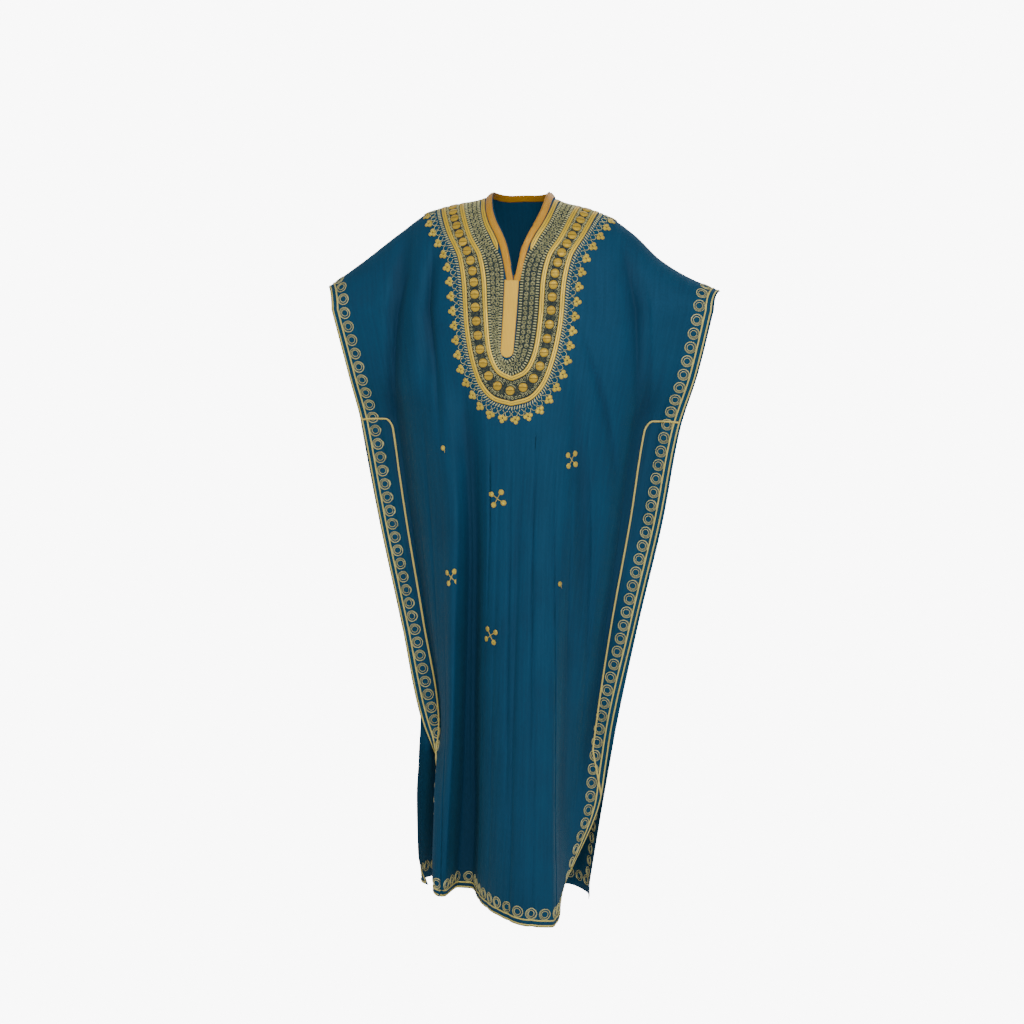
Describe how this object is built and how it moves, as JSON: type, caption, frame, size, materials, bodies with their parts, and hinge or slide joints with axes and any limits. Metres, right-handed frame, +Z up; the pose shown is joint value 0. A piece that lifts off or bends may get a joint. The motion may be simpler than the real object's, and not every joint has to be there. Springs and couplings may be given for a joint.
{
  "type": "moroccan kaftan",
  "caption": "Worn-shape moroccan kaftan in petrol blue cloth, wide open sleeves, gold embroidered yoke, ring borders and side slits.",
  "frame": {"origin": "midway between the shoulders at neck level, where a wearer's shoulders hold the garment", "axes": "+Z up along the garment's length, the front faces -Y, the sleeves run along X"},
  "size_m": [0.7447, 0.3075, 1.3819],
  "materials": {
    "cloth": "matte crepe",
    "gold_braid": "gold thread braid",
    "satin": "satin ribbon",
    "cord": "twisted cord"
  },
  "bodies": {
    "root": {"front_panel": "cloth", "back_panel": "cloth", "neckband": "satin", "neck_braid": "gold_braid", "placket": "gold_braid", "yoke_braid_inner": "gold_braid", "yoke_braid_outer": "gold_braid", "edge_braid_front_outer": "gold_braid", "edge_braid_front_inner": "gold_braid", "edge_braid_back_outer": "gold_braid", "edge_braid_back_inner": "gold_braid", "seam_cord_front_left": "cord", "seam_cord_front_right": "cord", "seam_cord_back_left": "cord", "seam_cord_back_right": "cord"}
  },
  "joints": []
}
